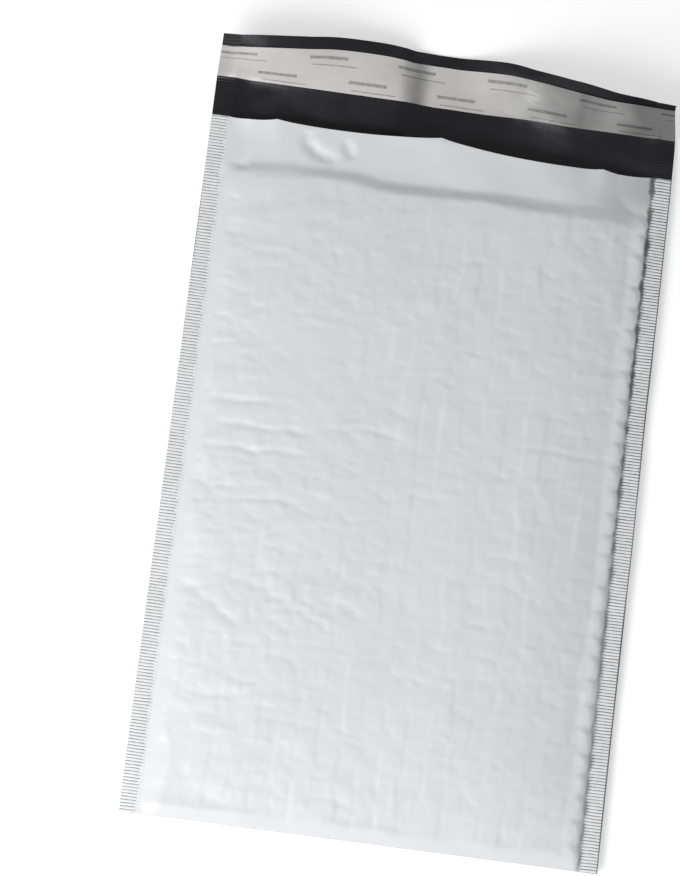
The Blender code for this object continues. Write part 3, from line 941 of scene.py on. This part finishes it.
# Painted shade along the right weld's inner border, under the pad's wall, and a dark line along the
# film's right edge: its colour, and how strongly it shows
WELD_SHADE = (0.10, 0.095, 0.10)
WELD_SHADE_SHARE = 0.85

# Painted shade at the lip's right corner: where it sets in across and up, and the share it darkens to
CORNER_SHADE_ACROSS = (0.074, 0.106)
CORNER_SHADE_UP = (0.336, 0.352)
CORNER_SHADE_SHARE = 0.70

# Dashes on the release strip: their pitch across, and each row's place from the strip's foot, its
# shift, and the length and thickness of its dashes
DASH_PITCH = 0.047
DASH_ROWS = ((0.0060, 0.006, 0.020, 0.0017), (0.0018, 0.004, 0.023, 0.0006),
             (0.0178, 0.028, 0.020, 0.0017), (0.0138, 0.026, 0.023, 0.0006))
DASH_BLUR = 0.0002

# Painted shade and reflections on the release strip. It gets darker over a stretch and once more at its
# right end (from, to, before and after), and in dark bands (middle, half width and strength), with a
# painted brighter one.
STRIP_SHADE_RISE = (0.010, 0.060, 0.0, 0.85)
STRIP_SHADE_END = (0.092, 0.108, 0.0, 0.35)
STRIP_SHADE_BANDS = ((-0.120, 0.014, 0.35), (-0.0165, 0.0085, 0.80), (0.068, 0.018, 0.95),
              (0.116, 0.022, 1.05))
STRIP_HIGHLIGHT_BAND = (0.084, 0.014, 0.22)
STRIP_SHADE_SHARE = 0.30


def darker(colour, share):
    return tuple(channel * share for channel in colour)


def film_bump(finish):
    """Fine slack of thin film: a faint even grain over soft waves."""
    waves = finish.noise(75.0, 3.0, 0.5, (1.0, 1.8))
    return finish.math("MULTIPLY_ADD", finish.noise(500.0, 2.0, 0.5), 0.06, waves)


def weld_shade_and_edge(finish, x, y, settings):
    """Painted shade along the right weld's inner border under the pad's wall, fainter towards the fold,
    and a dark line along the film's right edge.
    """
    inner = settings.width / 2 - settings.seal_width
    # The band of painted shade wanders in width along the weld
    shade_width = finish.span(finish.noise(115.0, 3.0, 0.6), 0.38, 0.66, -0.0004, 0.0016)
    border = finish.span(finish.minus(finish.apart(x, inner), shade_width), -0.0005, 0.0011, 1.0, 0.0)
    border = finish.times(border, finish.span(y, 0.08, 0.26, 0.30, 1.0))
    edge = finish.span(x, settings.width / 2 - 0.0007, settings.width / 2 - 0.0004)
    return finish.times(finish.larger(border, edge), WELD_SHADE_SHARE)


def white_film(settings):
    """White film, with painted shade at the lip's right corner."""
    finish = Finish("white_film", settings.white, 0.38)
    x, y = finish.coordinates()
    # Painted shade at the lip's right corner, where the film turns away from the light
    corner_shade = finish.times(finish.span(x, *CORNER_SHADE_ACROSS, smooth=True), finish.span(y, *CORNER_SHADE_UP, smooth=True))
    white = finish.mix(corner_shade, finish.mottled(settings.white, 0.975, 28.0),
                       darker(settings.white, CORNER_SHADE_SHARE))
    # Painted shade by the right weld, and the dark line at the right edge
    finish.colour(finish.mix(weld_shade_and_edge(finish, x, y, settings), white, WELD_SHADE))
    finish.rough(finish.spots(90.0, 4.0, 0.33, 0.45))
    finish.bump(film_bump(finish), 0.0002)
    return finish.material


def weld_film(settings):
    """White film pressed in lines, with the black layer showing grey where it is pressed."""
    finish = Finish("welded_film", settings.weld_white, 0.36)
    x, y = finish.coordinates()
    stray = finish.span(finish.noise(70.0, 2.0), 0.3, 0.7, -0.07, 0.07)
    turn = finish.plus(finish.math("DIVIDE", y, settings.rib_pitch), stray)
    line = finish.span(finish.apart(finish.math("FRACT", turn), 0.5), 0.30, 0.42, smooth=True)
    right = finish.span(x, -0.05, 0.05)
    inner = settings.width / 2 - settings.seal_width + 0.0002
    start = finish.minus(inner, finish.times(right, 0.002))
    ragged = finish.minus(finish.math("ABSOLUTE", x), finish.spots(300.0, 2.0, 0.0, 0.0014))
    ends = finish.span(ragged, start, finish.plus(start, 0.0008))
    patchy = finish.span(finish.noise(240.0, 3.0, 0.6, (1.0, 1.6)), 0.30, 0.62, 0.55, 1.0)
    dark = finish.times(right, finish.span(y, 0.04, 0.24, 0.35, 1.0))
    grey = finish.mix(dark, settings.rib_grey, darker(settings.rib_grey, 0.25))
    striped = finish.mix(finish.times(finish.times(line, patchy), ends), settings.weld_white, grey)
    # Painted shade by the right weld, and the dark line at the right edge
    finish.colour(finish.mix(weld_shade_and_edge(finish, x, y, settings), striped, WELD_SHADE))
    finish.bump(finish.minus(film_bump(finish), finish.times(line, 0.3)), 0.0003)
    return finish.material


def black_film(settings):
    """Black film with faint scuffs, and the welds' ribs pressed into its sides."""
    finish = Finish("black_film", settings.black, 0.32)
    finish.shader.inputs["Specular IOR Level"].default_value = 0.35
    scuffs = finish.span(finish.noise(35.0, 4.0, 0.6, (1.0, 2.0)), 0.40, 0.75)
    finish.colour(finish.mix(scuffs, settings.black, darker(settings.black, 1.7)))
    finish.rough(finish.spots(50.0, 4.0, 0.26, 0.42))
    x, y = finish.coordinates()
    inner = settings.width / 2 - settings.seal_width
    side = finish.span(finish.math("ABSOLUTE", x), inner, inner + 0.0012)
    ribs = finish.math("SINE", finish.times(y, 2 * math.pi / settings.rib_pitch))
    ribs = finish.times(finish.times(ribs, side), 0.25)
    finish.bump(finish.plus(film_bump(finish), ribs), 0.00026)
    return finish.material


def strip_dashes(finish, x, up):
    """1 on the plain dashes of the release strip, which lie in staggered rows."""
    dashes = 0.0
    for row, shift, length, thickness in DASH_ROWS:
        across = finish.math("MODULO", finish.plus(x, 4 * DASH_PITCH + shift), DASH_PITCH)
        wide = finish.span(across, length, length + DASH_BLUR, 1.0, 0.0)
        high = finish.span(finish.apart(up, row), thickness / 2 - DASH_BLUR / 2,
                           thickness / 2 + DASH_BLUR / 2, 1.0, 0.0)
        dashes = finish.larger(dashes, finish.times(wide, high))
    return dashes


def strip_painted_shade(finish, x):
    """How much painted shade the release strip gets across the flap, with one painted brighter band."""
    def band(middle, half_width, strength):
        return finish.span(finish.apart(x, middle), 0.0, half_width, strength, 0.0, True)

    strip_shade = finish.span(x, *STRIP_SHADE_RISE, True)
    for each in STRIP_SHADE_BANDS:
        strip_shade = finish.larger(strip_shade, band(*each))
    strip_shade = finish.plus(finish.minus(strip_shade, band(*STRIP_HIGHLIGHT_BAND)), finish.span(x, *STRIP_SHADE_END, True))
    return finish.times(strip_shade, finish.span(finish.noise(30.0, 2.0), 0.3, 0.7, 0.85, 1.15))


def release_film(settings, body_length):
    """Silvery film with plain printed dashes, and painted shade and reflections across it."""
    finish = Finish("release_film", settings.silver, 0.34)
    x, y = finish.coordinates()
    # Painted shade and reflections, on the silver and on the dashes alike
    strip_shade = strip_painted_shade(finish, x)
    silver = finish.mix(strip_shade, finish.mottled(settings.silver, 0.95, 40.0),
                        darker(settings.silver, STRIP_SHADE_SHARE))
    grey = finish.mix(strip_shade, settings.dash_grey, darker(settings.dash_grey, STRIP_SHADE_SHARE))
    dashes = strip_dashes(finish, x, finish.minus(y, body_length + settings.liner_foot))
    worn = finish.times(dashes, finish.span(finish.noise(500.0, 2.0), 0.3, 0.6, 0.6, 0.9))
    finish.colour(finish.mix(worn, silver, grey))
    finish.rough(finish.spots(60.0, 3.0, 0.28, 0.40))
    finish.bump(film_bump(finish), 0.0004)
    return finish.material


def tacky_glue(settings):
    finish = Finish("tacky_glue", settings.amber, 0.25)
    finish.colour(finish.mottled(settings.amber, 0.88, 90.0, roughness=0.6, stretch=(0.15, 1.0)))
    finish.bump(finish.noise(250.0, 2.0), 0.0003)
    return finish.material


def bubble_film(settings):
    finish = Finish("bubble_film", settings.colour, 0.20)
    finish.colour(finish.mottled(settings.colour, 0.93, 60.0))
    finish.rough(finish.spots(150.0, 3.0, 0.14, 0.30))
    finish.bump(finish.noise(300.0, 3.0), 0.0004)
    return finish.material


def envelope_form(context):
    scene = context.scene
    return EnvelopeForm(scene.envelope_film, scene.envelope_lining, scene.envelope_strips)


class ENVELOPE_OT_outer_film(bpy.types.Operator):
    """Make the film bag with its welds and its flap"""

    bl_idname = "envelope.outer_film"
    bl_label = "Outer Film"

    def execute(self, context):
        settings = context.scene.envelope_film
        materials = [white_film(settings), weld_film(settings), black_film(settings)]
        piece = make_film(envelope_form(context), materials)
        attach(piece, "root")
        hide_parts("outer_film")
        return {"FINISHED"}


class ENVELOPE_OT_bubble_lining(bpy.types.Operator):
    """Make the bubble sheet that lines the pocket"""

    bl_idname = "envelope.bubble_lining"
    bl_label = "Bubble Lining"

    def execute(self, context):
        settings = context.scene.envelope_lining
        piece = make_lining(envelope_form(context), settings, bubble_film(settings))
        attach(piece, "root")
        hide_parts("bubble_lining")
        return {"FINISHED"}


class ENVELOPE_OT_adhesive_strip(bpy.types.Operator):
    """Make the band of glue on the flap"""

    bl_idname = "envelope.adhesive_strip"
    bl_label = "Adhesive Strip"

    def execute(self, context):
        form = envelope_form(context)
        settings = context.scene.envelope_strips
        foot = settings.liner_foot + (settings.liner_width - settings.glue_width) / 2
        piece = thin_sheet("glue_band", form, form.half_width - settings.glue_from_side,
                           foot, foot + settings.glue_width,
                           form.film.thickness + settings.clearance, settings.glue_thickness,
                           GLUE_STEP, tacky_glue(settings))
        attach(piece, "root")
        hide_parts("adhesive_strip")
        return {"FINISHED"}


class ENVELOPE_OT_release_liner(bpy.types.Operator):
    """Make the peel-off strip that covers the glue"""

    bl_idname = "envelope.release_liner"
    bl_label = "Release Liner"

    def execute(self, context):
        form = envelope_form(context)
        settings = context.scene.envelope_strips
        lift = form.film.thickness + 2 * settings.clearance + settings.glue_thickness
        piece = thin_sheet("release_strip", form, form.half_width,
                           settings.liner_foot, settings.liner_foot + settings.liner_width,
                           lift, settings.liner_thickness, LINER_STEP,
                           release_film(settings, form.body))
        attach(piece, "root")
        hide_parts("release_liner")
        return {"FINISHED"}


# The camera stands over the envelope's lower left and looks down on it
CAMERA_PLACE = Vector((-0.17016, FILM_LOW.y - 0.18696, 1.89265))
CAMERA_TURNS = ((-11.04, "X"), (5.51, "Y"), (-6.98, "Z"))
SENSOR_WIDTH = 36.0

KEY_PLACE = (-0.56, -0.62, 0.75)
KEY_SIZE = 0.7
FLOOR_SIDE = 4.0
FLOOR_DROP = 0.0002


def add_camera(settings):
    turn = Matrix.Identity(3)
    for angle, axis in CAMERA_TURNS:
        turn = turn @ Matrix.Rotation(math.radians(angle), 3, axis)
    data = bpy.data.cameras.new("camera")
    data.lens = settings.lens
    data.sensor_width = SENSOR_WIDTH
    data.clip_start = 0.01
    camera = bpy.data.objects.new("camera", data)
    camera.matrix_world = Matrix.Translation(CAMERA_PLACE) @ turn.transposed().to_4x4()
    bpy.context.scene.collection.objects.link(camera)
    bpy.context.scene.camera = camera


def add_lamp(name, place, size, power):
    """A square lamp that faces the middle of the envelope."""
    data = bpy.data.lights.new(name, "AREA")
    data.size = size
    data.energy = power
    lamp = bpy.data.objects.new(name, data)
    lamp.location = place
    lamp.rotation_euler = (-Vector(place)).to_track_quat("-Z", "Y").to_euler()
    bpy.context.scene.collection.objects.link(lamp)


def add_world(settings):
    """Even white light from all round, which the camera sees as plain white."""
    world = bpy.data.worlds.new("pale_room")
    world.use_nodes = True
    nodes, links = world.node_tree.nodes, world.node_tree.links
    background = nodes["Background"]
    background.inputs["Color"].default_value = (1.0, 1.0, 1.0, 1.0)
    path = nodes.new("ShaderNodeLightPath")
    strength = nodes.new("ShaderNodeMapRange")
    strength.inputs["To Min"].default_value = settings.fill
    strength.inputs["To Max"].default_value = 1.0
    links.new(path.outputs["Is Camera Ray"], strength.inputs["Value"])
    links.new(strength.outputs["Result"], background.inputs["Strength"])
    bpy.context.scene.world = world


def add_floor(settings):
    """A pale floor. The camera sees it a little whiter than it is, and it keeps the shadow."""
    mesh = bpy.data.meshes.new("floor")
    corners = [(FLOOR_SIDE * x, FLOOR_SIDE * y, 0) for x, y in ((-1, -1), (1, -1), (1, 1), (-1, 1))]
    mesh.from_pydata(corners, [], [(0, 1, 2, 3)])
    floor = bpy.data.objects.new("floor", mesh)
    floor.location.z = -FLOOR_DROP
    material = bpy.data.materials.new("pale_floor")
    material.use_nodes = True
    nodes, links = material.node_tree.nodes, material.node_tree.links
    shader = nodes["Principled BSDF"]
    shader.inputs["Base Color"].default_value = (0.84, 0.84, 0.84, 1.0)
    shader.inputs["Roughness"].default_value = 0.9
    shader.inputs["Emission Color"].default_value = (1.0, 1.0, 1.0, 1.0)
    path = nodes.new("ShaderNodeLightPath")
    lift = nodes.new("ShaderNodeMath")
    lift.operation = "MULTIPLY"
    lift.inputs[1].default_value = settings.floor_lift
    links.new(path.outputs["Is Camera Ray"], lift.inputs[0])
    links.new(lift.outputs["Value"], shader.inputs["Emission Strength"])
    mesh.materials.append(material)
    bpy.context.scene.collection.objects.link(floor)


class ENVELOPE_OT_stage(bpy.types.Operator):
    """Set up the floor, the light and the camera"""

    bl_idname = "envelope.stage"
    bl_label = "Stage"

    def execute(self, context):
        settings = context.scene.envelope_stage
        add_floor(settings)
        add_world(settings)
        add_lamp("key", KEY_PLACE, KEY_SIZE, settings.key_power)
        add_camera(settings)
        context.scene.view_settings.view_transform = "Standard"
        return {"FINISHED"}


class ENVELOPE_PT_maker(bpy.types.Panel):
    """The envelope's pieces and their settings"""

    bl_idname = "ENVELOPE_PT_maker"
    bl_label = "Padded Envelope"
    bl_space_type = "VIEW_3D"
    bl_region_type = "UI"
    bl_category = "Envelope"

    def draw(self, context):
        for operators, owner in PANEL_ROWS:
            box = self.layout.box()
            for operator in operators:
                box.operator(operator.bl_idname)
            settings = getattr(context.scene, owner)
            for name in settings.bl_rna.properties.keys():
                if name not in ("rna_type", "name"):
                    box.prop(settings, name)


PANEL_ROWS = (
    ((ENVELOPE_OT_outer_film,), "envelope_film"),
    ((ENVELOPE_OT_bubble_lining,), "envelope_lining"),
    ((ENVELOPE_OT_adhesive_strip, ENVELOPE_OT_release_liner), "envelope_strips"),
    ((ENVELOPE_OT_stage,), "envelope_stage"),
)
SETTINGS = {
    "envelope_film": FilmSettings,
    "envelope_lining": LiningSettings,
    "envelope_strips": StripSettings,
    "envelope_stage": StageSettings,
}
CLASSES = (*SETTINGS.values(), *(operator for row in PANEL_ROWS for operator in row[0]),
           ENVELOPE_PT_maker)


def register():
    for made in CLASSES:
        bpy.utils.register_class(made)
    for name, group in SETTINGS.items():
        setattr(bpy.types.Scene, name, PointerProperty(type=group))


def unregister():
    for name in SETTINGS:
        delattr(bpy.types.Scene, name)
    for made in reversed(CLASSES):
        bpy.utils.unregister_class(made)


def main():
    register()
    bpy.ops.envelope.outer_film()
    bpy.ops.envelope.bubble_lining()
    bpy.ops.envelope.adhesive_strip()
    bpy.ops.envelope.release_liner()
    bpy.ops.envelope.stage()


if __name__ == "__main__":
    main()
